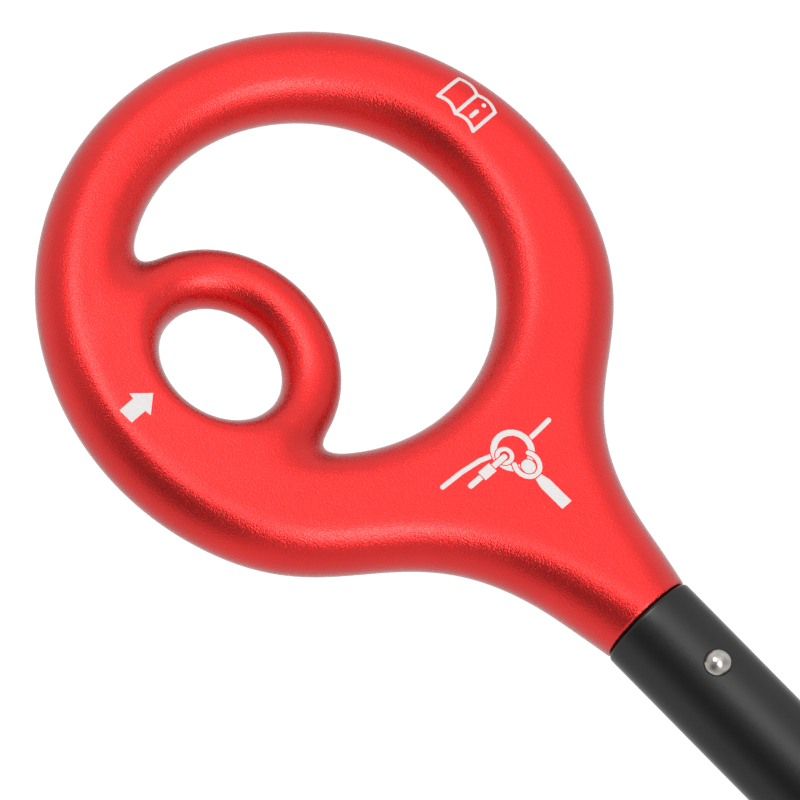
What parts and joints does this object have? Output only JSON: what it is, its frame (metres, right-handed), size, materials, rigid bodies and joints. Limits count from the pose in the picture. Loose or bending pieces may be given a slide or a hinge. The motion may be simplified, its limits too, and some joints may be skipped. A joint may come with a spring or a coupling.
{
  "type": "handled rope descender",
  "caption": "Forged ring descender with a small carabiner eye set inside the big ring and a fan-shaped neck that carries a round black tube handle, fixed by a through rivet.",
  "frame": {"origin": "centre of the whole part's box, which is on the mid-plane of the ring", "axes": "+X along the handle, from the ring to the handle's end; +Z is the normal of the ring's plane, on the side that carries the engraved pictograms; the carabiner eye is on the -Y side of the ring"},
  "size_m": [0.2492, 0.1108, 0.0238],
  "materials": {
    "red_anodised": "bead blasted and anodised red, satin",
    "black_anodised": "smooth black anodised, satin",
    "polished_steel": "polished stainless steel",
    "black_plastic": "fine moulded matte"
  },
  "bodies": {
    "root": {"ring_body": "red_anodised", "handle_tube": "black_anodised", "handle_rivet": "polished_steel", "end_plug": "black_plastic"}
  },
  "joints": []
}
